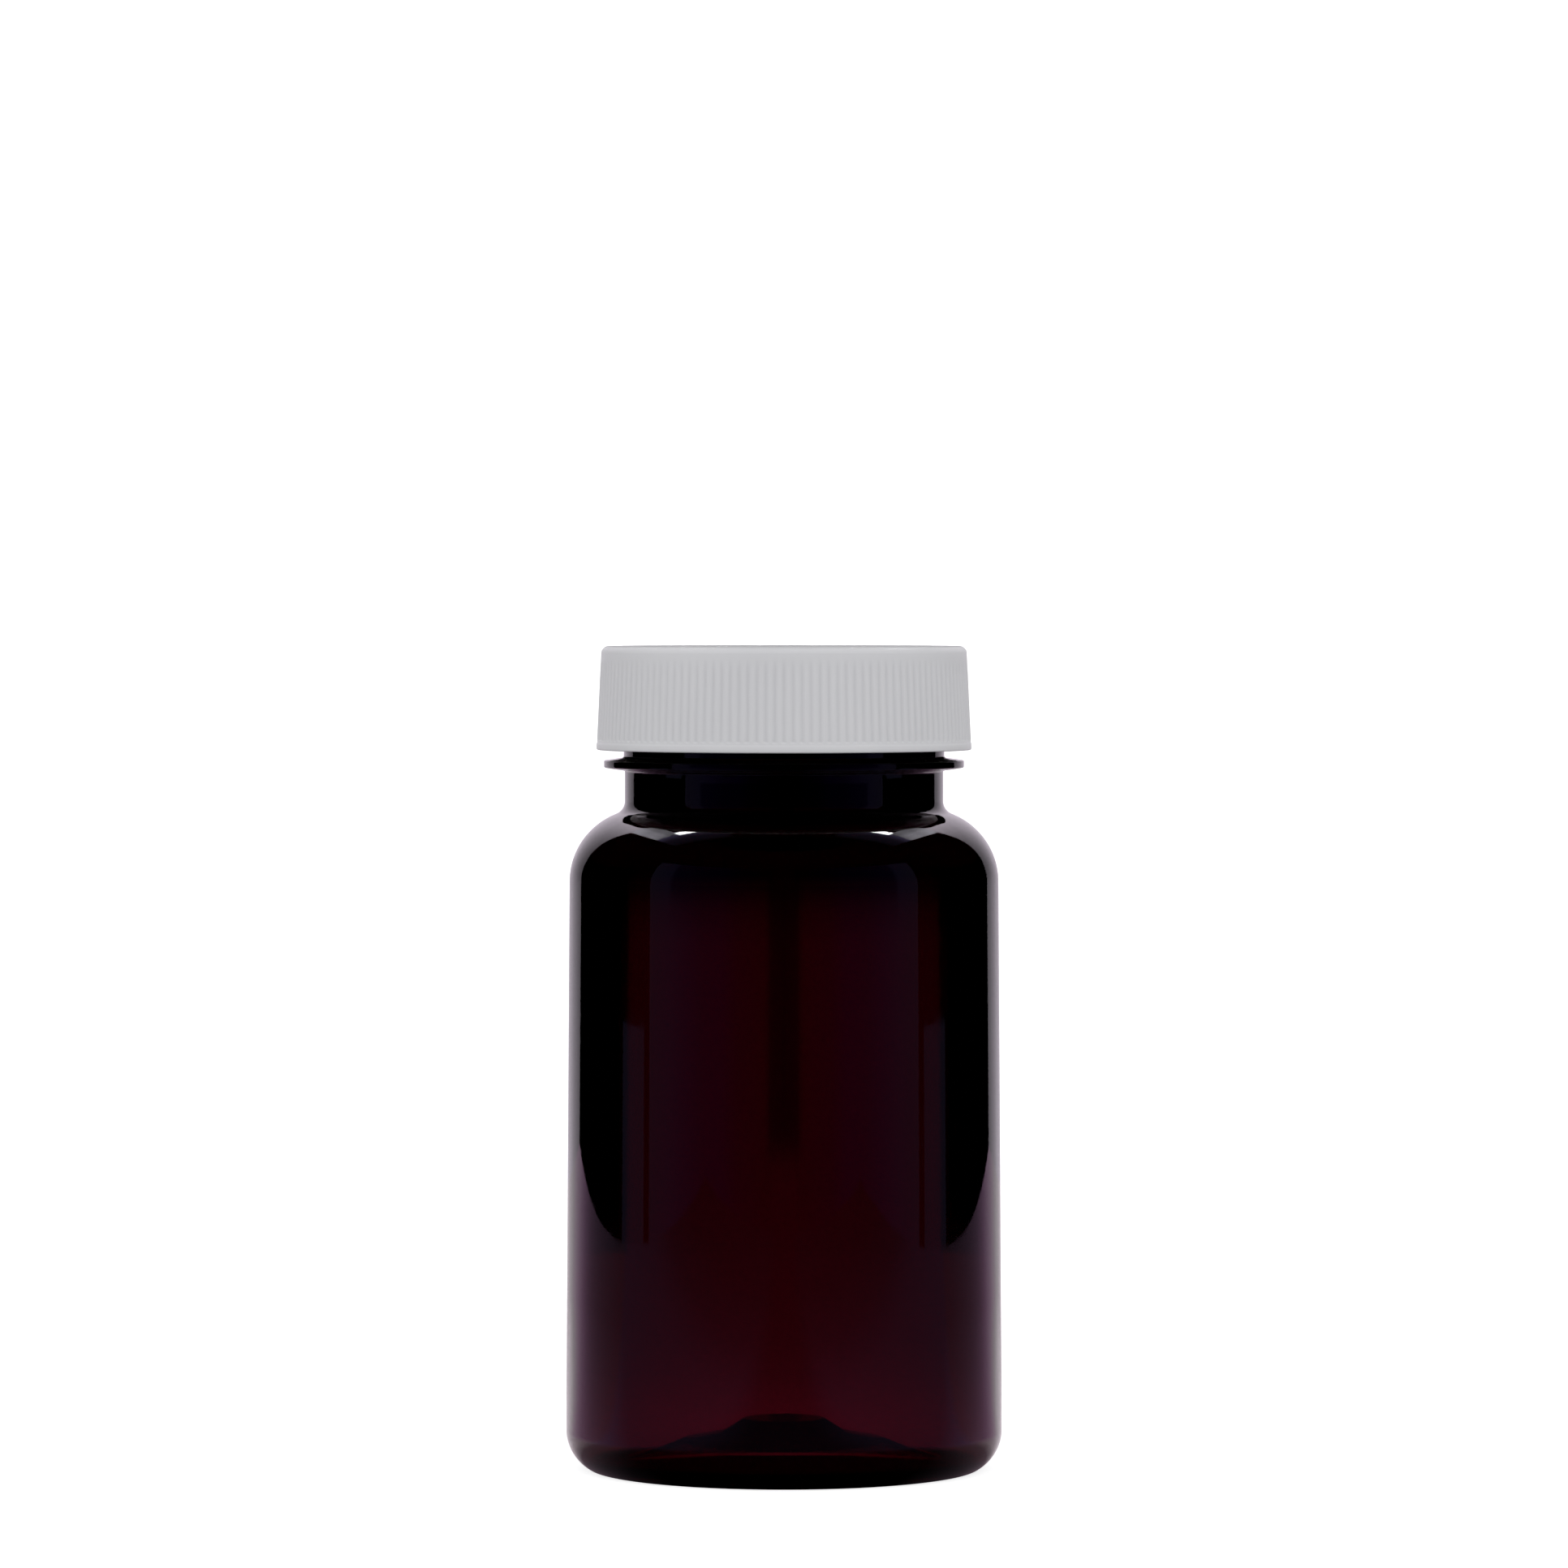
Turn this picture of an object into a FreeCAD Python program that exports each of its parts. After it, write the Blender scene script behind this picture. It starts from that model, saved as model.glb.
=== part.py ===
import FreeCAD, Part
import math
import os

from FreeCAD import Vector

# A round PET packer bottle with a 38-400 continuous-thread neck and its ribbed screw cap.
# +Z up, origin at the centre of the circle the bottle stands on, millimetres.
# Pieces: bottle_body (blown PET, one piece with its neck finish), cap_shell (moulded PP),
# liner_board and liner_foil (the two layers of the sealing liner inside the cap).

os.makedirs("parts", exist_ok=True)

# ---------------------------------------------------------------- bottle
HEEL_RADIUS = 23.352       # outside radius of the wall just above the heel
HEEL_ARC = 4.672           # main heel radius
HEEL_FOOT_ARC = 1.0        # small radius between the heel arc and the foot
HEEL_TURN = 1.061          # radians of the main heel arc
HEEL_HEIGHT = HEEL_FOOT_ARC + (HEEL_ARC - HEEL_FOOT_ARC) * math.sin(HEEL_TURN)
FOOT_INNER = 17.30         # inner edge of the flat ring the bottle stands on
SHOULDER_RADIUS = 22.950   # outside radius of the wall where the shoulder starts
SHOULDER_Z = 62.90
SHOULDER_ARC = 7.80
NECK_RADIUS = 17.04        # plain neck below the support ledge
NECK_FILLET = 1.50         # hollow between the neck and the shoulder
WALL = 0.60                # blown wall
PUSHUP_OUT = ((3.60, 3.45), (10.50, 2.60))                 # push-up, outside: flat centre, then
                                                           # a shallow and a steeper cone
PUSHUP_IN = ((10.50, 3.20), (6.50, 4.00), (4.30, 5.40))    # inside, with the thick plug of the gate
FLOOR_END = (17.20, 0.55)                                  # where the inside floor meets the push-up
HEEL_IN_TURN = 50.0        # degrees of the heel arc followed inside
FLOOR_Z = 0.50             # height of the corner between the inside heel and the push-up

LEDGE_RADIUS = 19.27       # neck support ledge
LEDGE_LOW, LEDGE_HIGH = 75.22, 75.90
FINISH_RADIUS = 17.16      # thread root cylinder (E / 2)
THREAD_RADIUS = 18.50      # thread crest (T / 2)
FINISH_TOP = 85.73         # sealing land
BORE_RADIUS = 15.60        # I / 2

# ---------------------------------------------------------------- thread
PITCH = 25.4 / 6           # six threads to the inch
THREAD_TURNS = 1.15
THREAD_START_Z = 79.10     # height of the ridge's middle at its lower end
THREAD_ROOT_HALF = 1.10    # half width at the root cylinder
THREAD_FLANK = 0.50        # half width lost for each millimetre of height
FADE = 26.0                # degrees over which a thread rises out of its wall
THREAD_ANGLE = 150.0       # where the bottle's thread starts

# ---------------------------------------------------------------- cap
CAP_LOW, CAP_HIGH = 77.02, 88.13
CAP_R_LOW, CAP_R_HIGH = 20.036, 19.520
CAP_CORNER = 0.45
CAP_BORE = 18.72           # inside of the skirt, between the threads
CAP_THREAD_TIP = 17.50
CAP_THREAD_TIP_HALF = 0.30
CAP_THREAD_FLANK = 0.45
CAP_THREAD_DROP = 1.40     # cap thread's middle below the bottle thread's
CAP_THREAD_FIRST, CAP_THREAD_LAST = 30.0, 486.0   # degrees after the bottle thread's start
CAP_SEAT = 86.75           # underside of the top panel
RIB_COUNT = 130
RIB_LOW, RIB_HIGH = 78.00, 86.60
GROOVE_DEPTH = 0.15
GROOVE_SHARE = 0.34        # of the pitch between ribs

# ---------------------------------------------------------------- liner
LINER_RADIUS = 18.15
FOIL_LOW, FOIL_HIGH = 85.75, 85.85
BOARD_LOW, BOARD_HIGH = 85.85, 86.73


def xz(r, z):
    return Vector(r, 0, z)


class Profile:
    """A half section in the XZ plane, made of lines and arcs, turned about Z."""

    def __init__(self, r, z):
        self.at, self.edges = (r, z), []

    def line(self, r, z):
        if math.hypot(r - self.at[0], z - self.at[1]) > 1e-6:
            self.edges.append(Part.LineSegment(xz(*self.at), xz(r, z)).toShape())
        self.at = (r, z)
        return self

    def arc(self, centre, radius, a0, a1):
        """From angle a0 to a1, in degrees about centre, 0 being outwards."""
        p = [
            (
                centre[0] + radius * math.cos(math.radians(a)),
                centre[1] + radius * math.sin(math.radians(a)),
            )
            for a in (a0, (a0 + a1) / 2, a1)
        ]
        self.line(*p[0])
        self.edges.append(Part.Arc(*(xz(*q) for q in p)).toShape())
        self.at = p[2]
        return self

    def rounded(self, corner, radius, then):
        """A line to a corner, a tangent arc round it, and on towards the next point."""
        (x0, y0), (x1, y1), (x2, y2) = self.at, corner, then
        a, b = (x0 - x1, y0 - y1), (x2 - x1, y2 - y1)
        la, lb = math.hypot(*a), math.hypot(*b)
        a, b = (a[0] / la, a[1] / la), (b[0] / lb, b[1] / lb)
        half = math.acos(max(-1, min(1, a[0] * b[0] + a[1] * b[1]))) / 2
        t = radius / math.tan(half)
        m = (a[0] + b[0], a[1] + b[1])
        lm = math.hypot(*m)
        c = radius / math.sin(half)
        centre = (x1 + m[0] / lm * c, y1 + m[1] / lm * c)
        p, q = (x1 + a[0] * t, y1 + a[1] * t), (x1 + b[0] * t, y1 + b[1] * t)
        mid = (centre[0] - m[0] / lm * radius, centre[1] - m[1] / lm * radius)
        self.line(*p)
        self.edges.append(Part.Arc(xz(*p), xz(*mid), xz(*q)).toShape())
        self.at = q
        return self

    def solid(self):
        wire = Part.Wire(self.edges)
        return Part.Face(wire).revolve(Vector(0, 0, 0), Vector(0, 0, 1), 360)


def ridge(base, crest, fade_to, half_at_base, flank, z0, first, last):
    """A helical ridge from radius base to crest, which sinks to fade_to at both ends.

    It is lofted through radial sections. Its middle is at height z0 at angle THREAD_ANGLE.
    """
    wires, steps = [], int(round((last - first) / 6.0))
    for i in range(steps + 1):
        a = first + (last - first) * i / steps
        up = min(1.0, (a - first) / FADE, (last - a) / FADE)
        up = up * up * (3 - 2 * up)
        top = fade_to + (crest - fade_to) * up
        w0 = half_at_base
        w1 = half_at_base - flank * abs(top - base)
        z = z0 + PITCH * a / 360
        t = math.radians(THREAD_ANGLE + a)
        pts = [
            Vector(r * math.cos(t), r * math.sin(t), zz)
            for r, zz in ((base, z - w0), (top, z - w1), (top, z + w1), (base, z + w0))
        ]
        wires.append(Part.makePolygon(pts + [pts[0]]))
    return Part.makeLoft(wires, True, False)


# ---------------------------------------------------------------- bottle body
turn = math.degrees(HEEL_TURN)
heel_c = (HEEL_RADIUS - HEEL_ARC, HEEL_HEIGHT)
join = (
    heel_c[0] + HEEL_ARC * math.cos(HEEL_TURN),
    heel_c[1] - HEEL_ARC * math.sin(HEEL_TURN),
)
foot_c = (join[0] - HEEL_FOOT_ARC * math.cos(HEEL_TURN), HEEL_FOOT_ARC)
shoulder_c = (SHOULDER_RADIUS - SHOULDER_ARC, SHOULDER_Z)


def fillet_on(circle, radius, line_r, r):
    """Centre and angle of an arc of radius r outside a circle and tangent to a vertical line."""
    x = line_r + r
    dx = x - circle[0]
    dz = math.sqrt((radius + r) ** 2 - dx * dx)
    return (x, circle[1] + dz), math.degrees(math.atan2(dz, dx))


neck_c, neck_a = fillet_on(shoulder_c, SHOULDER_ARC, NECK_RADIUS, NECK_FILLET)
inner_c, inner_a = fillet_on(shoulder_c, SHOULDER_ARC - WALL - 0.05, BORE_RADIUS, 1.0)

p = Profile(0, PUSHUP_OUT[0][1])
p.rounded(PUSHUP_OUT[0], 2.0, PUSHUP_OUT[1])
p.rounded(PUSHUP_OUT[1], 3.0, (FOOT_INNER, 0.0))
p.rounded((FOOT_INNER, 0.0), 0.6, (foot_c[0], 0.0))
p.line(foot_c[0], 0.0)
p.arc(foot_c, HEEL_FOOT_ARC, -90, -turn)
p.arc(heel_c, HEEL_ARC, -turn, 0)
p.arc(shoulder_c, SHOULDER_ARC, 0, neck_a)
p.arc(neck_c, NECK_FILLET, neck_a - 180, -180)
p.rounded((NECK_RADIUS, 74.78), 0.20, (18.2, 74.95))
p.line(18.2, 74.95)
p.rounded((LEDGE_RADIUS, LEDGE_LOW - 0.10), 0.15, (LEDGE_RADIUS, LEDGE_HIGH))
p.rounded((LEDGE_RADIUS, LEDGE_HIGH), 0.15, (17.5, 76.16))
p.rounded((FINISH_RADIUS, 76.20), 0.25, (FINISH_RADIUS, 80.0))
p.rounded((FINISH_RADIUS, FINISH_TOP), 0.35, (BORE_RADIUS, FINISH_TOP))
p.rounded((BORE_RADIUS, FINISH_TOP), 0.25, (BORE_RADIUS, 80.0))
p.arc(inner_c, 1.0, 180, inner_a + 180)
p.arc(shoulder_c, SHOULDER_ARC - WALL - 0.05, inner_a, 0)
in_heel = heel_c
in_r = HEEL_ARC - WALL - 0.02
p.arc(in_heel, in_r, 0, -HEEL_IN_TURN)
corner_r = p.at[0] - (p.at[1] - FLOOR_Z) * math.tan(math.radians(HEEL_IN_TURN))
p.rounded((corner_r, FLOOR_Z), 1.0, FLOOR_END)
p.rounded(FLOOR_END, 2.0, PUSHUP_IN[0])
p.rounded(PUSHUP_IN[0], 3.0, PUSHUP_IN[1])
p.rounded(PUSHUP_IN[1], 0.8, PUSHUP_IN[2])
p.rounded(PUSHUP_IN[2], 0.5, (0, PUSHUP_IN[2][1]))
p.line(0, PUSHUP_IN[2][1])
p.line(0, PUSHUP_OUT[0][1])
bottle = p.solid()

thread = ridge(
    FINISH_RADIUS - 0.35,
    THREAD_RADIUS,
    FINISH_RADIUS - 0.12,
    THREAD_ROOT_HALF + THREAD_FLANK * 0.35,
    THREAD_FLANK,
    THREAD_START_Z,
    0.0,
    360 * THREAD_TURNS,
)
bottle = bottle.fuse(thread)


# ---------------------------------------------------------------- cap shell
def cap_r(z):
    return CAP_R_LOW + (CAP_R_HIGH - CAP_R_LOW) * (z - CAP_LOW) / (CAP_HIGH - CAP_LOW)


def outer(z0, z1, corner=0.0, low_corner=0.0):
    q = Profile(0, z0)
    if low_corner:
        q.rounded((cap_r(z0), z0), low_corner, (cap_r(z1), z1))
    else:
        q.line(cap_r(z0), z0)
    if corner:
        q.rounded((cap_r(z1), z1), corner, (0, z1))
    else:
        q.line(cap_r(z1), z1)
    q.line(0, z1)
    q.line(0, z0)
    return q.solid()


def ribbed(z):
    pts, step = [], 2 * math.pi / RIB_COUNT
    r = cap_r(z)
    for i in range(RIB_COUNT):
        a = step * i
        for da, rr in (
            (-0.5 * (1 - GROOVE_SHARE), r),
            (0.5 * (1 - GROOVE_SHARE), r),
            (0.5, r - GROOVE_DEPTH),
        ):
            pts.append(Vector(rr * math.cos(a + da * step), rr * math.sin(a + da * step), z))
    return Part.makePolygon(pts + [pts[0]])


shell = outer(CAP_LOW, RIB_LOW, low_corner=0.12)
shell = shell.fuse(Part.makeLoft([ribbed(RIB_LOW), ribbed(RIB_HIGH)], True, True))
shell = shell.fuse(outer(RIB_HIGH, CAP_HIGH, corner=CAP_CORNER))

hollow = Profile(0, CAP_LOW - 1)
hollow.line(CAP_BORE + 0.35, CAP_LOW - 1)
hollow.line(CAP_BORE + 0.35, CAP_LOW)
hollow.line(CAP_BORE, CAP_LOW + 0.35)
hollow.line(CAP_BORE, 84.72)
hollow.rounded((17.90, 85.17), 0.12, (17.90, 85.34))      # liner-retaining bead
hollow.rounded((17.90, 85.34), 0.10, (18.30, 85.58))
hollow.line(18.30, 85.58)
hollow.rounded((18.30, CAP_SEAT), 0.10, (0, CAP_SEAT))
hollow.line(0, CAP_SEAT)
hollow.line(0, CAP_LOW - 1)
shell = shell.cut(hollow.solid())
base_r = CAP_BORE + 0.28
shell = shell.fuse(
    ridge(
        base_r,
        CAP_THREAD_TIP,
        CAP_BORE + 0.12,
        CAP_THREAD_TIP_HALF + CAP_THREAD_FLANK * (base_r - CAP_THREAD_TIP),
        CAP_THREAD_FLANK,
        THREAD_START_Z - CAP_THREAD_DROP,
        CAP_THREAD_FIRST,
        CAP_THREAD_LAST,
    )
)

# ---------------------------------------------------------------- liner
board = Part.makeCylinder(LINER_RADIUS, BOARD_HIGH - BOARD_LOW, Vector(0, 0, BOARD_LOW))
foil = Part.makeCylinder(LINER_RADIUS, FOIL_HIGH - FOIL_LOW, Vector(0, 0, FOIL_LOW))

for name, shape in (
    ("bottle_body", bottle),
    ("cap_shell", shell),
    ("liner_board", board),
    ("liner_foil", foil),
):
    if shape.ShapeType == "Compound" and len(shape.Solids) == 1:
        shape = shape.Solids[0]
    print(
        name,
        shape.ShapeType,
        "solids",
        len(shape.Solids),
        "valid",
        shape.isValid(),
        "faces",
        len(shape.Faces),
        "cm3",
        round(shape.Volume / 1000, 3),
    )
    shape.exportStep("parts/%s.step" % name)
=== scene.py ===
import math

import bmesh
import bpy
import numpy as np
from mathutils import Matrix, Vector


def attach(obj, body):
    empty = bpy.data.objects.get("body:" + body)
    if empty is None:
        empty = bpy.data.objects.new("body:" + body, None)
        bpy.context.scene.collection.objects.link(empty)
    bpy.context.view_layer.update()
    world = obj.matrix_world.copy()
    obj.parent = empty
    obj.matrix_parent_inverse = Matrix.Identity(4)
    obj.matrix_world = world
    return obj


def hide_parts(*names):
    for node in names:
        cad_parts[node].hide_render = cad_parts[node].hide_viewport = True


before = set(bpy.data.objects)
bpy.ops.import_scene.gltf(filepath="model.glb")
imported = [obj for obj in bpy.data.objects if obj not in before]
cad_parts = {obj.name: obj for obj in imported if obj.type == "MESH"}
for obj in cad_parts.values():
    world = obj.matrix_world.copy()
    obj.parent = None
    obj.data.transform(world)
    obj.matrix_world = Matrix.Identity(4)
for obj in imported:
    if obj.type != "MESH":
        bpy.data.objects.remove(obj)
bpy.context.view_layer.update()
MM = 0.001


# ------------------------------------------------------------------ camera
# Level camera at 0.82 m, 4.8 mm above the cap's top. The photograph's frame is 1932 pixels wide and
# 11.475 pixels cover a millimetre at the bottle's axis; the horizon lies 226 pixels above its middle.
CAM_D, CAM_Z, PX_MM, FRAME_PX = 0.820, 0.09292, 11.475, 1932.0
cam = bpy.data.objects.new("camera", bpy.data.cameras.new("camera"))
bpy.context.scene.collection.objects.link(cam)
cam.data.sensor_width = 36.0
cam.data.lens = 1.0035 * 36.0 * CAM_D / (FRAME_PX / PX_MM * MM)
cam.data.clip_start, cam.data.clip_end = 0.05, 20.0
pitch = math.atan(224.6 / (PX_MM * CAM_D / MM))
cam.location = (0, -CAM_D, CAM_Z)
cam.rotation_euler = (math.pi / 2 - pitch, 0, 0)
bpy.context.scene.camera = cam


# ------------------------------------------------------------------ mesh helpers
class Path:
    """A half section sampled as points (r, z) in millimetres."""

    def __init__(self, r, z):
        self.p = [(r, z)]

    def to(self, r, z, n=1, grip=0.0):
        """A straight run in n steps. grip adds a point that far from each end, which holds the shading."""
        r0, z0 = self.p[-1]
        length = math.hypot(r - r0, z - z0)
        if length < 1e-7:
            return self
        t = list(np.linspace(0, 1, n + 1)[1:])
        if grip and length > 3 * grip:
            g = grip / length
            t = sorted(set([g, 1 - g] + [v for v in t if g < v < 1 - g] + [1.0]))
        self.p += [(r0 + (r - r0) * v, z0 + (z - z0) * v) for v in t]
        return self

    def arc(self, c, radius, a0, a1, n):
        """About c from angle a0 to a1 in degrees, 0 being outwards."""
        pts = [
            (c[0] + radius * math.cos(math.radians(a)), c[1] + radius * math.sin(math.radians(a)))
            for a in np.linspace(a0, a1, n + 1)
        ]
        if math.hypot(pts[0][0] - self.p[-1][0], pts[0][1] - self.p[-1][1]) > 1e-4:
            self.p.append(pts[0])
        self.p += pts[1:]
        return self

    def round(self, corner, radius, then, n=5, run=1, grip=0.0):
        """A straight run to a corner, then a tangent arc round it towards the next point."""
        (x0, y0), (x1, y1), (x2, y2) = self.p[-1], corner, then
        a, b = np.array([x0 - x1, y0 - y1]), np.array([x2 - x1, y2 - y1])
        a, b = a / np.linalg.norm(a), b / np.linalg.norm(b)
        half = math.acos(float(np.clip(a @ b, -1, 1))) / 2
        t = radius / math.tan(half)
        m = (a + b) / np.linalg.norm(a + b)
        c = np.array(corner) + m * radius / math.sin(half)
        p, q = np.array(corner) + a * t, np.array(corner) + b * t
        self.to(p[0], p[1], run, grip)
        u, v = p - c, q - c
        turn = math.atan2(u[0] * v[1] - u[1] * v[0], u @ v)
        for i in range(1, n + 1):
            w = turn * i / n
            d = (u[0] * math.cos(w) - u[1] * math.sin(w), u[0] * math.sin(w) + u[1] * math.cos(w))
            self.p.append((c[0] + d[0], c[1] + d[1]))
        return self


def angles(n):
    return np.arange(n) * 2 * math.pi / n


def ring(r, z, n):
    """A ring of n points. r and z are numbers or arrays of n."""
    t = angles(n)
    r, z = np.broadcast_to(r, n), np.broadcast_to(z, n)
    return np.stack([r * np.cos(t), r * np.sin(t), z], 1) * MM


def skin(name, rings, collection=None):
    """A closed mesh through rings of points, whose counts are equal, in a whole ratio, or 1 at a pole."""
    verts, start, faces = [], [], []
    for r in rings:
        start.append(len(verts))
        verts += [tuple(v) for v in r]
    for i in range(len(rings) - 1):
        a, b = len(rings[i]), len(rings[i + 1])
        sa, sb = start[i], start[i + 1]
        if a == b:
            faces += [(sa + j, sa + (j + 1) % a, sb + (j + 1) % a, sb + j) for j in range(a)]
        elif a == 1:
            faces += [(sa, sb + (j + 1) % b, sb + j) for j in range(b)]
        elif b == 1:
            faces += [(sa + j, sa + (j + 1) % a, sb) for j in range(a)]
        elif a > b:
            k = a // b
            for j in range(b):
                run = [sa + (j * k + m) % a for m in range(k + 1)]
                faces.append(tuple(run + [sb + (j + 1) % b, sb + j]))
        else:
            k = b // a
            for j in range(a):
                run = [sb + (j * k + m) % b for m in range(k + 1)]
                faces.append(tuple([sa + j] + [sa + (j + 1) % a] + run[::-1]))
    mesh = bpy.data.meshes.new(name)
    mesh.from_pydata(verts, [], faces)
    bm = bmesh.new()
    bm.from_mesh(mesh)
    bmesh.ops.recalc_face_normals(bm, faces=bm.faces)
    bm.to_mesh(mesh)
    bm.free()
    mesh.polygons.foreach_set("use_smooth", [True] * len(mesh.polygons))
    mesh.update()
    obj = bpy.data.objects.new(name, mesh)
    bpy.context.scene.collection.objects.link(obj)
    return obj


def smoothstep(a, b, x):
    t = np.clip((np.asarray(x, float) - a) / (b - a), 0, 1)
    return t * t * (3 - 2 * t)


def soft_max(a, b, k):
    """The larger of two, with the corner rounded over about k."""
    h = np.clip(0.5 + 0.5 * (a - b) / k, 0, 1)
    return a * h + b * (1 - h) + k * h * (1 - h)


# ------------------------------------------------------------------ thread, as in the CAD
PITCH, THREAD_ANGLE, THREAD_START_Z, THREAD_TURNS, FADE = 25.4 / 6, 150.0, 79.10, 1.15, 26.0


def ridge_height(theta, z, base, crest, fade_to, half_at_base, flank, z0, first, last):
    """Radius of a helical ridge's surface at angle theta (degrees) and height z, or its base's."""
    sign = 1.0 if crest > base else -1.0
    best = np.full(np.broadcast(theta, z).shape, -9.0)
    a0 = (theta - THREAD_ANGLE) % 360.0
    for turn in (0, 1):
        a = a0 + 360.0 * turn
        inside = (a >= first) & (a <= last)
        up = np.clip(np.minimum((a - first), (last - a)) / FADE, 0, 1)
        up = up * up * (3 - 2 * up)
        top = abs(fade_to - base) + (abs(crest - base) - abs(fade_to - base)) * up
        high = (half_at_base - np.abs(z - (z0 + PITCH * a / 360.0))) / flank
        high = -soft_max(-high, -top, 0.10)
        best = np.where(inside, np.maximum(best, high), best)
    return base + sign * best


# ------------------------------------------------------------------ bottle
N = 224
HEEL_R, HEEL_ARC, FOOT_ARC, TURN = 23.352, 4.672, 1.0, 1.061
HEEL_H = FOOT_ARC + (HEEL_ARC - FOOT_ARC) * math.sin(TURN)
SH_R, SH_Z, SH_ARC = 22.950, 62.90, 7.80
FINISH_R, THREAD_R, FINISH_TOP, BORE_R = 17.16, 18.50, 85.73, 15.60
turn = math.degrees(TURN)
heel_c = (HEEL_R - HEEL_ARC, HEEL_H)
foot_c = (heel_c[0] + (HEEL_ARC - FOOT_ARC) * math.cos(TURN), FOOT_ARC)
sh_c = (SH_R - SH_ARC, SH_Z)


def fillet_on(c, radius, line_r, r):
    dx = line_r + r - c[0]
    dz = math.sqrt((radius + r) ** 2 - dx * dx)
    return (line_r + r, c[1] + dz), math.degrees(math.atan2(dz, dx))


neck_c, neck_a = fillet_on(sh_c, SH_ARC, 17.04, 1.5)
inner_c, inner_a = fillet_on(sh_c, SH_ARC - 0.65, BORE_R, 1.0)

low = Path(0, 3.15)                                         # gate mark under the push-up
low.round((1.5, 3.15), 0.12, (1.5, 3.45), 3).round((1.5, 3.45), 0.12, (3.6, 3.45), 3)
low.round((3.6, 3.45), 2.0, (10.5, 2.60), 5, 2)
low.round((10.5, 2.60), 3.0, (17.30, 0.0), 6, 5)
low.round((17.30, 0.0), 0.6, (20.4, 0.0), 6, 6)
low.arc(foot_c, FOOT_ARC, -90, -turn, 8)
low.arc(heel_c, HEEL_ARC, -turn, 0, 26)
low.to(SH_R, SH_Z, 44)
low.arc(sh_c, SH_ARC, 0, neck_a, 40)
low.arc(neck_c, 1.5, neck_a - 180, -180, 14)
low.round((17.04, 74.78), 0.20, (18.2, 74.95), 5, 3)
low.to(18.2, 74.95)
low.round((19.27, 75.12), 0.15, (19.27, 75.9), 5)
low.round((19.27, 75.90), 0.15, (17.5, 76.16), 5)
low.round((FINISH_R, 76.20), 0.25, (FINISH_R, 80.0), 6, 2)
outer = low.p
z = outer[-1][1]
rows_thread = [(FINISH_R, v) for v in np.arange(77.4, 85.31, 0.11)]
high = Path(FINISH_R, 85.33)
high.round((FINISH_R, FINISH_TOP), 0.35, (BORE_R, FINISH_TOP), 6)
high.round((BORE_R, FINISH_TOP), 0.25, (BORE_R, 80.0), 5, 2)
high.to(BORE_R, 72.0, 8)
high.arc(inner_c, 1.0, 180, inner_a + 180, 10)
high.arc(sh_c, SH_ARC - 0.65, inner_a, 0, 26)
z_in = 5.40
high.to(heel_c[0] + HEEL_ARC - 0.62, heel_c[1], 30)
high.arc(heel_c, HEEL_ARC - 0.62, 0, -50, 14)
r_in = high.p[-1][0] - (high.p[-1][1] - 0.50) * math.tan(math.radians(50))
high.round((r_in, 0.50), 1.0, (17.2, 0.55), 8)
high.round((17.2, 0.55), 2.0, (10.5, 3.20), 8, 3)
high.round((10.5, 3.20), 3.0, (6.5, 4.0), 6, 5)
high.round((6.5, 4.0), 0.8, (4.3, z_in), 6, 3)
high.round((4.3, z_in), 0.5, (0, z_in), 6, 2)
high.to(1.2, z_in, 2)

theta = np.degrees(angles(N))
rings = [np.array([[0, 0, outer[0][1] * MM]])]
for r, z in outer[1:]:
    rr = np.full(N, r)
    if 5.0 < z < 69.5:                                      # parting line of the blow mould, both sides
        for at in (0, N // 2):
            rr[at] += 0.022 * float(smoothstep(5.0, 8.0, z) * (1 - smoothstep(66.0, 69.5, z)))
    rings.append(ring(rr, z, N))
for r, z in rows_thread:
    th = ridge_height(
        theta, z, FINISH_R - 0.35, THREAD_R, FINISH_R - 0.12, 1.275, 0.5, THREAD_START_Z, 0.0, 360 * THREAD_TURNS
    )
    rings.append(ring(np.maximum(th, r), z, N))
rings += [ring(r, z, N) for r, z in high.p]
rings.append(np.array([[0, 0, z_in * MM]]))
bottle = skin("bottle_pet", rings)

# ------------------------------------------------------------------ cap
NC, RIBS = 780, 130
LOW, TOP = 77.02, 88.13


def cap_r(z):
    return 20.036 + (19.520 - 20.036) * (z - LOW) / (TOP - LOW)


GROOVE = np.tile([0.0, 0.0, 0.55, 1.0, 0.55, 0.0], RIBS)      # depth of the groove at each column
CROWN = np.tile([0.018, 0.010, 0.0, 0.0, 0.0, 0.010], RIBS)   # the lands are a little round


def ribbed(z, depth=0.12):
    on = float(smoothstep(77.98, 78.22, z) * (1 - smoothstep(85.3, 87.1, z)))
    return cap_r(z) - depth * on * GROOVE + CROWN * on


cap_rings = [np.array([[0, 0, (TOP - 0.16) * MM]])]
for r, z, n in (                                             # gate mark in the middle of the top
    (0.45, TOP - 0.15, 65), (0.95, TOP - 0.07, 65), (1.25, TOP - 0.012, 65), (1.6, TOP, 65),
    (4.0, TOP, 65), (8.0, TOP, 130), (12.0, TOP, 260), (15.5, TOP, 260), (17.6, TOP, 780), (18.40, TOP, 780),
):
    cap_rings.append(ring(r, z, n))
corner = Path(18.50, TOP)
corner.round((cap_r(TOP), TOP), 0.75, (cap_r(80), 80), 10)
cap_rings += [ring(r, z, NC) for r, z in corner.p[1:]]
for z in list(np.linspace(87.35, 86.0, 10)) + list(np.linspace(85.2, 78.8, 9)) + list(np.linspace(78.4, 77.96, 9)):
    cap_rings.append(ring(ribbed(z), z, NC))
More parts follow.
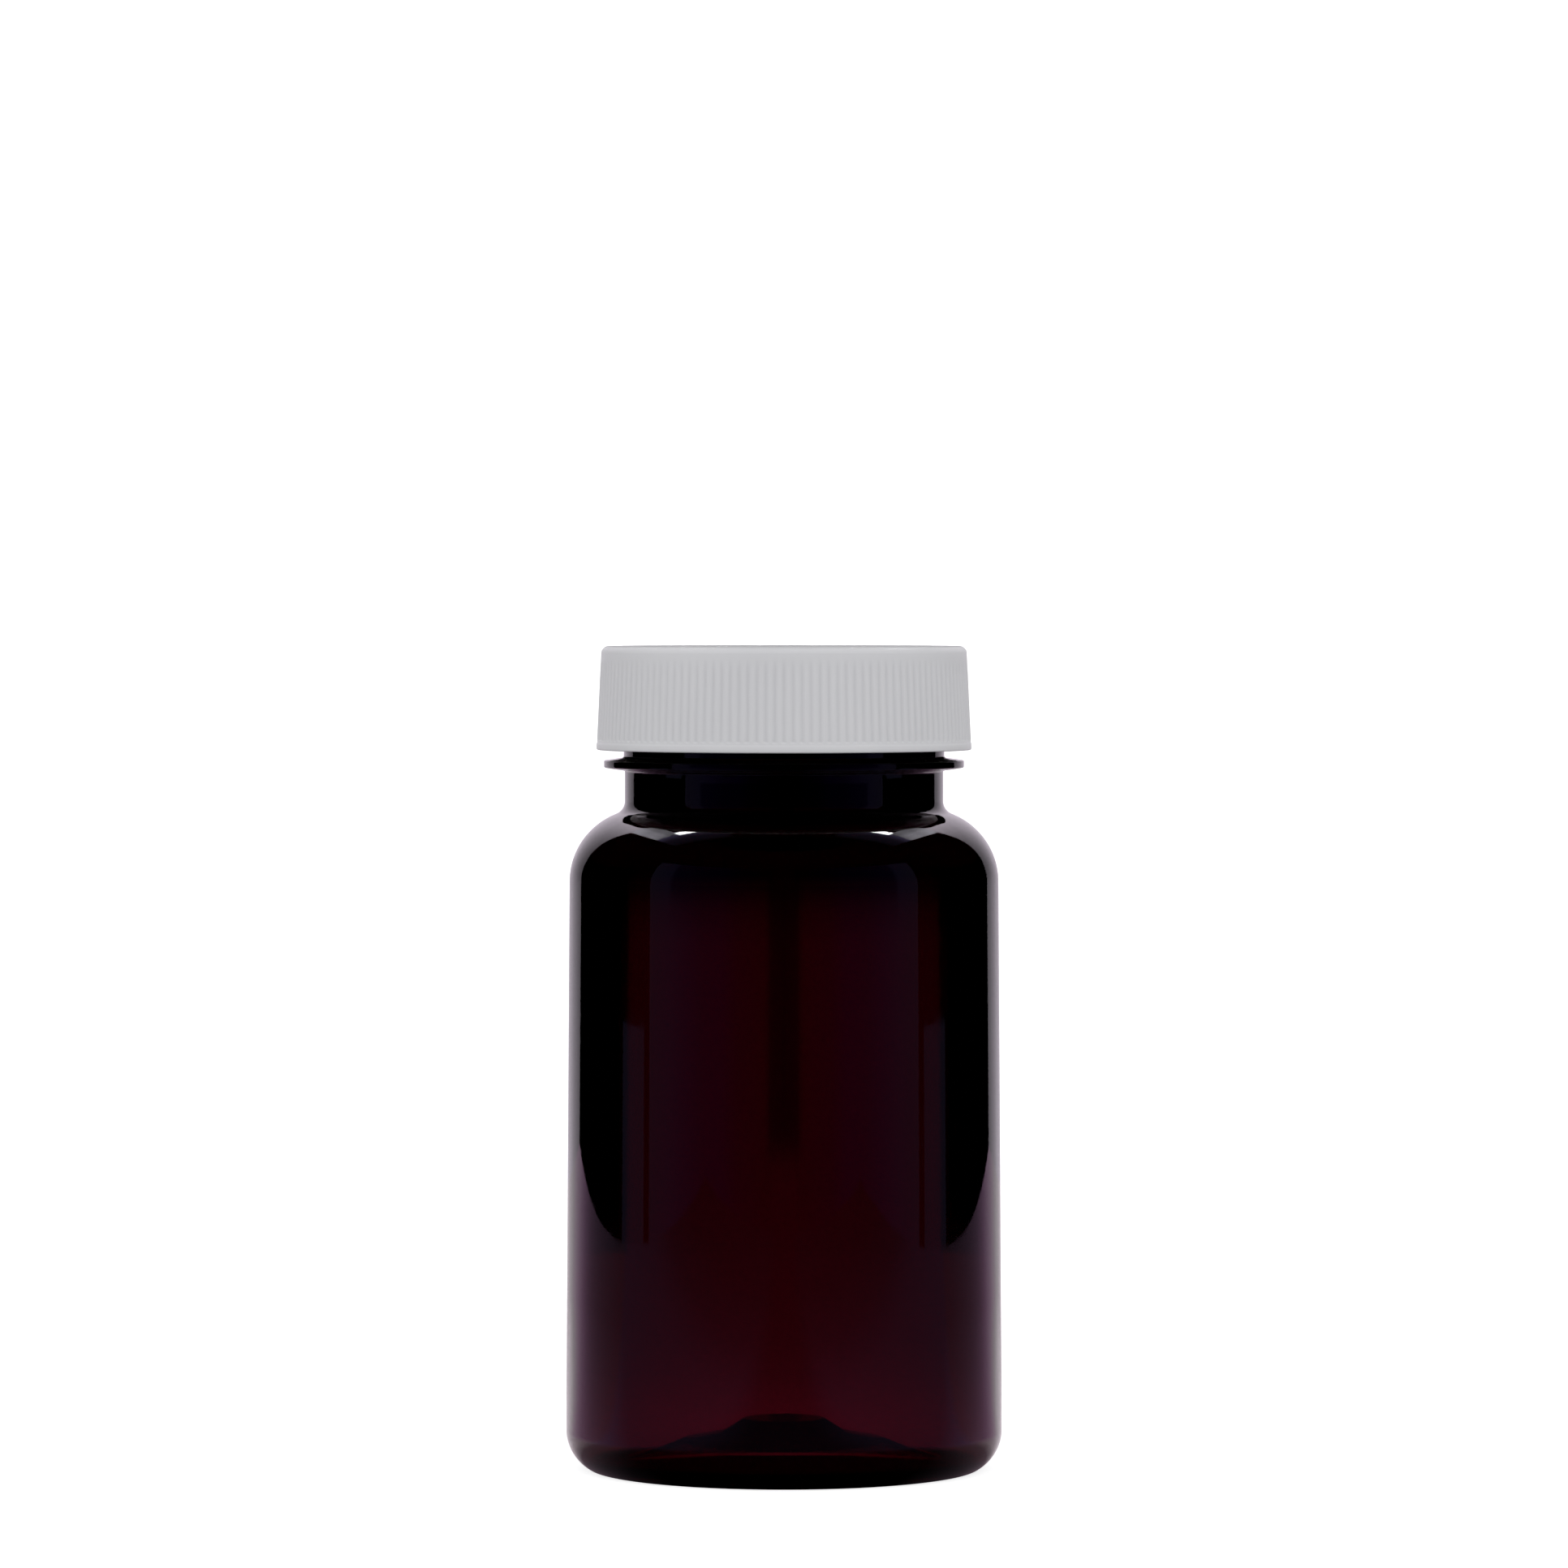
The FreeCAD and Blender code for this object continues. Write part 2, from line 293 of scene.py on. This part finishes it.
band = Path(cap_r(77.9) - 0.03, 77.90)                       # plain band round the lower edge
band.to(cap_r(77.84) - 0.02, 77.86)
band.to(cap_r(77.74) + 0.035, 77.76).to(cap_r(77.5) + 0.045, 77.52, 2)
band.round((cap_r(LOW) + 0.02, LOW), 0.16, (19.07, LOW), 6)
cap_rings += [ring(r, z, NC) for r, z in band.p[1:]]
cap_rings += [ring(19.60, LOW, NC), ring(19.45, LOW, 260)]
inside = Path(19.30, LOW)
inside.round((19.07, LOW), 0.08, (18.72, 77.37), 3)
inside.to(18.72, 77.37, 2)
cap_rings += [ring(r, z, 260) for r, z in inside.p]
tc = np.degrees(angles(260))
for z in np.arange(77.48, 84.68, 0.12):
    th = ridge_height(
        tc, z, 19.0, 17.50, 18.84, 0.30 + 0.45 * 1.5, 0.45, THREAD_START_Z - 1.40, 30.0, 486.0
    )
    cap_rings.append(ring(np.minimum(th, 18.72), z, 260))
seat = Path(18.72, 84.71)
seat.round((17.90, 85.17), 0.12, (17.90, 85.34), 4, 2)
seat.round((17.90, 85.34), 0.10, (18.30, 85.58), 4)
seat.to(18.30, 85.58)
seat.round((18.30, 86.75), 0.10, (0, 86.75), 4, 3)
cap_rings += [ring(r, z, 260) for r, z in seat.p]
cap_rings += [ring(14.0, 86.75, 260), ring(8.0, 86.75, 130), ring(2.0, 86.75, 65), np.array([[0, 0, 86.75 * MM]])]
cap = skin("cap_shell_pp", cap_rings)
# how deep in a groove each point lies; the cap's material darkens its base colour by it, a painted shade in the
# grooves
co = np.empty(len(cap.data.vertices) * 3, np.float32)
cap.data.vertices.foreach_get("co", co)
co = co.reshape(-1, 3) / MM
rad = np.hypot(co[:, 0], co[:, 1])
inset = (cap_r(co[:, 2]) - rad) / 0.12
inset = np.where((co[:, 2] > 77.9) & (co[:, 2] < 87.4) & (rad > 19.3), np.clip(inset, 0, 1), 0.0)
shade = cap.data.attributes.new("groove", "FLOAT", "POINT")
shade.data.foreach_set("value", inset.astype(np.float32))

# ------------------------------------------------------------------ liner
rng = np.random.default_rng(7)


def disc(name, radius, z0, z1, edge, wrinkle, seed):
    """A die-cut disc with rounded edges, whose lower face is a little uneven."""
    g = np.random.default_rng(seed)
    waves = [(g.uniform(0.25, 1.1), g.uniform(0, 6.28), g.uniform(0, 6.28)) for _ in range(9)]

    def lift(r, t):
        x, y = r * np.cos(t), r * np.sin(t)
        return sum(np.sin(k * (x * math.cos(a) + y * math.sin(a)) + p) for k, a, p in waves) / 9 * wrinkle

    n, t = 192, angles(192)
    rs = [radius - edge * v for v in (0.0, 0.3, 1.0)] + list(np.linspace(radius - 0.6, 1.0, 16))
    out = [np.array([[0, 0, z1 * MM]])] + [ring(r, z1, n) for r in rs[::-1][:-1]]
    out += [ring(radius, z1 - edge, n), ring(radius, z0 + edge, n)]
    out += [ring(r, z0 + lift(r, t) * (r < radius - 0.5), n) for r in rs[1:]]
    out.append(np.array([[0, 0, z0 * MM]]))
    return skin(name, out)


board = disc("liner_board_disc", 18.15, 85.87, 86.73, 0.12, 0.0, 3)
foil = disc("liner_foil_disc", 18.15, 85.752, 85.85, 0.02, 0.012, 5)


# ------------------------------------------------------------------ materials
def material(name):
    m = bpy.data.materials.new(name)
    m.use_nodes = True
    nt = m.node_tree
    p = next(n for n in nt.nodes if n.type == "BSDF_PRINCIPLED")
    return m, nt, p


def node(nt, kind, **inputs):
    n = nt.nodes.new(kind)
    for k, v in inputs.items():
        if hasattr(n, k):
            setattr(n, k, v)
        else:
            n.inputs[k.replace("_", " ")].default_value = v
    return n


def noise(nt, coords, scale, detail=2.0, rough=0.5, stretch=None):
    n = node(nt, "ShaderNodeTexNoise", Scale=scale, Detail=detail, Roughness=rough)
    if stretch:
        mp = node(nt, "ShaderNodeMapping")
        mp.inputs["Scale"].default_value = stretch
        nt.links.new(coords, mp.inputs["Vector"])
        nt.links.new(mp.outputs[0], n.inputs["Vector"])
    else:
        nt.links.new(coords, n.inputs["Vector"])
    return n.outputs["Fac"]


def remap(nt, value, a, b, c, d):
    n = node(nt, "ShaderNodeMapRange", From_Min=a, From_Max=b, To_Min=c, To_Max=d)
    nt.links.new(value, n.inputs["Value"])
    return n.outputs["Result"]


def colour_mix(nt, fac, a, b):
    n = nt.nodes.new("ShaderNodeMix")
    n.data_type = "RGBA"
    nt.links.new(fac, n.inputs[0])
    n.inputs[6].default_value, n.inputs[7].default_value = (*a, 1), (*b, 1)
    return n.outputs[2]


def bump(nt, height, distance, strength=1.0, normal=None):
    n = node(nt, "ShaderNodeBump", Strength=strength, Distance=distance)
    nt.links.new(height, n.inputs["Height"])
    if normal is not None:
        nt.links.new(normal, n.inputs["Normal"])
    return n.outputs["Normal"]


# dark amber PET: clear plastic whose colour is all in its thickness
m_pet, nt, p = material("pet_dark_amber")
co = node(nt, "ShaderNodeTexCoord").outputs["Object"]
p.inputs["Base Color"].default_value = (1, 1, 1, 1)
p.inputs["Transmission Weight"].default_value = 1.0
p.inputs["IOR"].default_value = 1.575
waves = noise(nt, co, 130.0, 2.0)                 # slow waves of a blown wall
fine = noise(nt, co, 900.0, 3.0)
nt.links.new(remap(nt, fine, 0.35, 0.75, 0.012, 0.045), p.inputs["Roughness"])
scratch = noise(nt, co, 260.0, 3.0, 0.6, (9.0, 9.0, 1.0))
n1 = bump(nt, waves, 0.0000045)
n2 = bump(nt, remap(nt, scratch, 0.70, 0.74, 0.0, 1.0), 0.0000012, 0.6, n1)
nt.links.new(n2, p.inputs["Normal"])
vol = node(nt, "ShaderNodeVolumeAbsorption")
vol.inputs["Color"].default_value = (0.508, 0.0, 0.185, 1)
vol.inputs["Density"].default_value = 5942.0
nt.links.new(vol.outputs[0], next(n for n in nt.nodes if n.type == "OUTPUT_MATERIAL").inputs["Volume"])

# white polypropylene
m_pp, nt, p = material("pp_white_satin")
co = node(nt, "ShaderNodeTexCoord").outputs["Object"]
cloud = noise(nt, co, 60.0, 3.0)
base = colour_mix(nt, remap(nt, cloud, 0.3, 0.7, 0, 1), (0.805, 0.805, 0.818), (0.835, 0.835, 0.846))
# painted shade: the base colour is darkened in the grooves by the groove depth kept on the mesh
at = nt.nodes.new("ShaderNodeAttribute")
at.attribute_name = "groove"
dark = nt.nodes.new("ShaderNodeMix")
dark.data_type, dark.blend_type = "RGBA", "MULTIPLY"
nt.links.new(at.outputs["Fac"], dark.inputs[0])
nt.links.new(base, dark.inputs[6])
dark.inputs[7].default_value = (0.94, 0.94, 0.943, 1)
nt.links.new(dark.outputs[2], p.inputs["Base Color"])
grain = noise(nt, co, 4200.0, 2.0)
nt.links.new(remap(nt, grain, 0.3, 0.7, 0.36, 0.50), p.inputs["Roughness"])
p.inputs["IOR"].default_value = 1.49
p.inputs["Subsurface Weight"].default_value = 0.25
p.inputs["Subsurface Radius"].default_value = (1.0, 1.0, 1.0)
p.inputs["Subsurface Scale"].default_value = 0.0006
flow = noise(nt, co, 420.0, 2.0)
n1 = bump(nt, flow, 0.000012)
nt.links.new(bump(nt, grain, 0.0000035, 1.0, n1), p.inputs["Normal"])

# pulp board
m_board, nt, p = material("pulp_board")
co = node(nt, "ShaderNodeTexCoord").outputs["Object"]
fib = noise(nt, co, 900.0, 5.0, 0.65, (1.0, 3.0, 1.0))
nt.links.new(
    colour_mix(nt, remap(nt, fib, 0.3, 0.7, 0, 1), (0.60, 0.54, 0.45), (0.80, 0.76, 0.68)), p.inputs["Base Color"]
)
nt.links.new(remap(nt, fib, 0.3, 0.7, 0.80, 0.95), p.inputs["Roughness"])
nt.links.new(bump(nt, fib, 0.00003), p.inputs["Normal"])

# foil with its sealing film
m_foil, nt, p = material("seal_foil")
co = node(nt, "ShaderNodeTexCoord").outputs["Object"]
roll = noise(nt, co, 700.0, 3.0, 0.6, (0.06, 6.0, 1.0))
nt.links.new(
    colour_mix(nt, remap(nt, roll, 0.3, 0.7, 0, 1), (0.70, 0.71, 0.73), (0.84, 0.85, 0.86)), p.inputs["Base Color"]
)
p.inputs["Metallic"].default_value = 1.0
nt.links.new(remap(nt, roll, 0.3, 0.7, 0.22, 0.38), p.inputs["Roughness"])
crease = noise(nt, co, 260.0, 4.0, 0.6)
nt.links.new(bump(nt, crease, 0.00003), p.inputs["Normal"])

for obj, mat, body, cad, slot in (
    (bottle, m_pet, "bottle", "bottle_body", "pet_amber"),
    (cap, m_pp, "cap", "cap_shell", "pp_white"),
    (board, m_board, "liner", "liner_board", "pulp_board"),
    (foil, m_foil, "liner", "liner_foil", "foil"),
):
    obj.data.materials.append(mat)
    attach(obj, body)
    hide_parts(cad)


# ------------------------------------------------------------------ studio
def see(obj, camera=False, diffuse=False, glossy=False, transmission=False):
    obj.visible_camera, obj.visible_diffuse = camera, diffuse
    obj.visible_glossy, obj.visible_transmission = glossy, transmission
    obj.visible_shadow = False
    obj.visible_volume_scatter = False


def card(name, us, vs, place, light, **seen):
    """A glowing card: a grid whose points come from place(u, v) and whose light from light(u, v), an RGB."""
    verts = [place(u, v) for v in vs for u in us]
    nu = len(us)
    faces = [
        (j * nu + i, j * nu + i + 1, (j + 1) * nu + i + 1, (j + 1) * nu + i)
        for j in range(len(vs) - 1)
        for i in range(nu - 1)
    ]
    mesh = bpy.data.meshes.new(name)
    mesh.from_pydata(verts, [], faces)
    glow = mesh.color_attributes.new("glow", "FLOAT_COLOR", "POINT")
    data = np.ones((len(verts), 4), np.float32)
    data[:, :3] = [light(u, v) for v in vs for u in us]
    glow.data.foreach_set("color", data.ravel())
    obj = bpy.data.objects.new(name, mesh)
    bpy.context.scene.collection.objects.link(obj)
    m = bpy.data.materials.new(name)
    m.use_nodes = True
    nt = m.node_tree
    nt.nodes.clear()
    out = nt.nodes.new("ShaderNodeOutputMaterial")
    em = nt.nodes.new("ShaderNodeEmission")
    at = nt.nodes.new("ShaderNodeVertexColor")
    at.layer_name = "glow"
    nt.links.new(at.outputs["Color"], em.inputs["Color"])
    nt.links.new(em.outputs[0], out.inputs["Surface"])
    m.cycles.emission_sampling = "NONE"
    mesh.materials.append(m)
    see(obj, **seen)
    return obj


def tint(level, rgb=(1.0, 0.90, 1.02)):
    return tuple(level * c for c in rgb)


# What the bottle mirrors: a lit wall behind it with a dark middle above, two lit strips overhead with a
# lamp at each one's near end, a glowing card for the table it stands on, with painted shade and light, and dim
# sides. Metres, with z up from the table.
def clip01(v):
    return min(1.0, max(0.0, v))


def wall_light(x, z):
    base = np.interp(z, [0, 0.04, 0.08, 0.12, 0.20, 0.28, 0.36, 0.44, 0.49], [0.57, 0.50, 0.43, 0.42, 0.50, 0.67, 1.08, 1.75, 1.95])
    at = [0, 0.10, 0.14, 0.18, 0.22, 0.26, 0.30, 0.34, 0.37]
    far = np.interp(abs(x), at, [1.78, 1.75, 1.64, 1.43, 1.20, 1.0, 0.82, 0.66, 0.55])
    low = np.interp(abs(x), at, [1.10, 1.12, 1.16, 1.20, 1.12, 1.0, 0.88, 0.74, 0.62])
    k = float(smoothstep(0.03, 0.11, z)) * (1 - 0.6 * float(smoothstep(0.34, 0.44, z)))
    return tint(base * (low + (far - low) * k), (1.11, 1.0, 1.13))


card("wall_mirrored", np.linspace(-0.362, 0.358, 73), np.linspace(-0.02, 0.15, 18),
     lambda x, z: (x, 0.41, z), wall_light, glossy=True)
def upper(a, z, low):
    """The side panels are brightest along their near edge, except close to the table."""
    return 1 - (1 - low) * float(smoothstep(0.044, 0.052, z) * smoothstep(117.5, 119.5, a))


INNER_Z = [0.15, 0.20, 0.24, 0.28, 0.36, 0.44, 0.49]
INNER_X = [0.0, 0.085, 0.120, 0.155, 0.205, 0.262, 0.288]
for s, side in ((-1, "l"), (1, "r")):
    def arm(u, z, s=s):
        x0, x1 = np.interp(z, INNER_Z, INNER_X), (0.366 if s < 0 else 0.352)
        return (s * (x0 + (x1 - x0) * u), 0.41, z)

    card("arm_mirrored_" + side, np.linspace(0, 1, 25), np.linspace(0.15, 0.49, 35),
         arm, lambda u, z, arm=arm: wall_light(arm(u, z)[0], z), glossy=True)

    def strip(u, y, s=s):
        x0 = np.interp(y, [0.128, 0.32, 0.41], [0.243, 0.248, 0.288])
        return (s * (x0 + (0.364 - x0) * u), y, 0.49)

    card("strip_mirrored_" + side, np.linspace(0, 1, 13), np.linspace(0.128, 0.41, 30), strip,
         lambda u, y, s=s: tint(
             float(np.interp(abs(strip(u, y, s)[0]), [0.245, 0.278, 0.30, 0.364], [0.85, 1.0, 1.6, 1.85]))
             * float(np.interp(y, [0.128, 0.14, 0.20, 0.28, 0.33, 0.41], [0.4, 0.8, 1.05, 0.85, 1.0, 1.05])),
             (1.03, 1.0, 1.12)), glossy=True)
    card("lamp_mirrored_" + side, np.linspace(0.188, 0.248, 5), np.linspace(0.112, 0.158, 5),
         lambda x, y, s=s: (s * x, y, 0.489), lambda x, y: tint(18.0, (1, 1, 1.02)), glossy=True)
    card("glow_mirrored_" + side, np.linspace(0.12, 0.364, 12), np.linspace(-0.03, 0.127, 16),
         lambda x, y, s=s: (s * x, y, 0.49),
         lambda x, y: tint(float(np.interp(y, [-0.03, 0.0, 0.06, 0.09, 0.127], [0.0, 0.03, 0.045, 0.11, 0.30]))
                           * clip01((x - 0.10) / 0.05 + y / 0.10), (1.15, 1.0, 1.9)), glossy=True)
    # side panels, by azimuth from straight behind the bottle
    card("side_mirrored_" + side, np.linspace(105, 168, 32), np.linspace(-0.10, 0.40, 51),
         lambda a, z, s=s: (s * 0.6 * math.sin(math.radians(a)), 0.6 * math.cos(math.radians(a)), z),
         lambda a, z: (
             0.050 * float(np.interp(a, [105, 118, 135, 155, 168], [1, 0.8, 0.35, 0.08, 0])) * upper(a, z, 0.25),
             0.042 * float(np.interp(a, [105, 118, 128, 140, 150], [1, 0.75, 0.35, 0.08, 0])) * upper(a, z, 0.15),
             0.086 * float(np.interp(a, [105, 118, 128, 137, 147, 156, 168], [1, 1, 0.78, 0.5, 0.45, 0.14, 0.03]))
             * upper(a, z, 0.45),
         ), glossy=True)
    card("side_low_mirrored_" + side, np.linspace(86, 101.5, 6), np.linspace(-0.10, 0.022, 4),
         lambda a, z, s=s: (s * 0.6 * math.sin(math.radians(a)), 0.6 * math.cos(math.radians(a)), z),
         lambda a, z: (0.046, 0.044, 0.086), glossy=True)

TABLE_AZ = [0, 30, 40, 46, 52, 58, 64, 70, 78, 86, 95, 105, 120, 180]
TABLE_L = [0.72, 0.64, 0.47, 0.34, 0.22, 0.15, 0.112, 0.088, 0.070, 0.056, 0.052, 0.052, 0.052, 0.050]


# painted light and shade on the table card: beside and behind the bottle the glow rises towards it; in front it is
# painted dark close to the foot and along a middle strip, and fades further out
def table_light(x, y):
    az, r = abs(math.degrees(math.atan2(x, y))), math.hypot(x, y)
    near = np.interp(r, [0.026, 0.035, 0.055, 0.075, 0.107, 0.145, 0.185, 0.23], [7.5, 6.0, 2.6, 2.0, 1.6, 1.35, 1.2, 1.0])
    g = min(0.80, float(np.interp(az, TABLE_AZ, TABLE_L)) * (near if az > 25 else 1.0))
    if y < 0:
        front = float(np.interp(y, [-0.42, -0.30, -0.20, -0.12, 0.0], [0.004, 0.008, 0.02, 0.045, 0.056]))
        g = min(g, max(front, 0.056 * near * clip01(1 + y / 0.03)))
        g *= 0.25 + 0.75 * float(smoothstep(0.02, 0.06, abs(x)))
        g *= float(smoothstep(0.028, 0.060, r + 0.05 * clip01(1 + y / 0.02)))
    dim = clip01((0.62 - g) / 0.40)
    close = clip01((0.050 - r) / 0.015)
    if y < 0:
        return (1.2 * g * (1 + 0.15 * close), g, g * (2.0 - 0.75 * close))
    return (g * (1.12 + 0.62 * dim * (1 - 0.6 * close)), g, g * (1.08 + 0.55 * dim * (1 - 0.9 * close)))


card("table_mirrored", np.linspace(-0.364, 0.356, 91), np.linspace(-0.42, 0.41, 104),
     lambda x, y: (x, y, -0.0005), table_light, glossy=True)

# What is seen through the bottle: a pair of plain lit panels behind it, the same on its other three sides,
# and a glowing card for the table round it, with a painted pool of light near the bottle and painted shade in a
# thin ring at its foot.
PANEL_AT, PANEL_HALF, PANEL_TOP = 0.286, 0.0316, 0.0588


def panel_light(u, z):
    v = 1 - float(smoothstep(0.042, 0.0575, z))
    v *= 1 - 0.76 * (1 - float(smoothstep(0.0019, 0.0034, abs(u)))) * float(smoothstep(0.009, 0.017, z))
    return tint(0.58 * v, (1.0, 0.75, 0.8))


for turn in (0, 90, 180, 270):
    cs, sn = math.cos(math.radians(turn)), math.sin(math.radians(turn))
    card("panel_through_%d" % turn, np.linspace(-PANEL_HALF, PANEL_HALF, 85), np.linspace(-0.0017, PANEL_TOP, 61),
         lambda u, z, cs=cs, sn=sn: (u * cs + PANEL_AT * sn, PANEL_AT * cs - u * sn, z), panel_light,
         transmission=True)


def round_table(a, v):
    r = 0.0225 + 0.2655 * v * v
    return (r * math.sin(math.radians(a)), r * math.cos(math.radians(a)), -0.001)


# painted light: the table card's glow rises towards the bottle and is painted dark in a thin ring at its foot
def round_table_light(a, v):
    x, y, _ = round_table(a, v)
    r = math.hypot(x, y)
    v = float(np.interp(r, [0.0225, 0.050, 0.072, 0.110, 0.152, 0.197, 0.246, 0.294],
                        [2.40, 2.25, 1.95, 1.42, 1.18, 1.12, 1.08, 1.0]))
    return tint(0.60 * v * float(smoothstep(0.0225, 0.0240, r)), (1.0, 0.85, 0.9))


card("table_through", np.linspace(0, 360, 145), np.linspace(0, 1, 150), round_table, round_table_light,
     transmission=True)

# Floor: pale and plain, running out to a white world.
mesh = bpy.data.meshes.new("floor")
xs, ys = np.linspace(-6, 6, 13), np.linspace(-3, 14, 18)
verts = [(x, y, 0.0) for y in ys for x in xs]
mesh.from_pydata(
    verts, [], [(j * 13 + i, j * 13 + i + 1, (j + 1) * 13 + i + 1, (j + 1) * 13 + i) for j in range(17) for i in range(12)]
)
floor = bpy.data.objects.new("floor", mesh)
bpy.context.scene.collection.objects.link(floor)
m_floor, nt, p = material("floor_pale")
p.inputs["Base Color"].default_value = (0.90, 0.90, 0.90, 1)
p.inputs["Roughness"].default_value = 0.9
p.inputs["Specular IOR Level"].default_value = 0.0
p.inputs["Emission Color"].default_value = (1, 1, 1, 1)
p.inputs["Emission Strength"].default_value = 0.74
m_floor.cycles.emission_sampling = "NONE"
mesh.materials.append(m_floor)
floor.visible_glossy = False
floor.visible_transmission = False
floor.visible_diffuse = False

# World: white to the camera. To matt surfaces a soft band of light from all round, a little above level,
# and a weaker sky, so a wall and a lid face get the same and undersides get little.
world = bpy.data.worlds.new("studio")
bpy.context.scene.world = world
world.use_nodes = True
nt = world.node_tree
bg = next(n for n in nt.nodes if n.type == "BACKGROUND")
sep = nt.nodes.new("ShaderNodeSeparateXYZ")
nt.links.new(nt.nodes.new("ShaderNodeTexCoord").outputs["Generated"], sep.inputs[0])
ramp = nt.nodes.new("ShaderNodeValToRGB")
ramp.color_ramp.elements[0].position, ramp.color_ramp.elements[0].color = 0.44, (0.02, 0.02, 0.02, 1)
ramp.color_ramp.elements[1].position, ramp.color_ramp.elements[1].color = 0.50, (0.88, 0.88, 0.90, 1)
for at, v in ((0.60, 0.90), (0.72, 0.34), (1.0, 0.14)):
    e = ramp.color_ramp.elements.new(at)
    e.color = (v, v, v * 1.015, 1)
half = nt.nodes.new("ShaderNodeMapRange")
half.inputs["From Min"].default_value = -1.0
nt.links.new(sep.outputs["Z"], half.inputs["Value"])
nt.links.new(half.outputs["Result"], ramp.inputs["Fac"])
mix = nt.nodes.new("ShaderNodeMix")
mix.data_type = "RGBA"
lp = nt.nodes.new("ShaderNodeLightPath")
nt.links.new(lp.outputs["Is Camera Ray"], mix.inputs[0])
nt.links.new(ramp.outputs["Color"], mix.inputs[6])
mix.inputs[7].default_value = (1.0, 1.0, 1.0, 1)
nt.links.new(mix.outputs[2], bg.inputs["Color"])
front = nt.nodes.new("ShaderNodeMath")                       # a little more from the front, on the cap's middle
front.operation = "MULTIPLY_ADD"
nt.links.new(sep.outputs[1], front.inputs[0])
front.inputs[1].default_value = -0.28
front.inputs[2].default_value = 2.05
nt.links.new(front.outputs[0], bg.inputs["Strength"])
world.cycles_visibility.glossy = False
world.cycles_visibility.transmission = False

bpy.context.scene.view_settings.view_transform = "Standard"
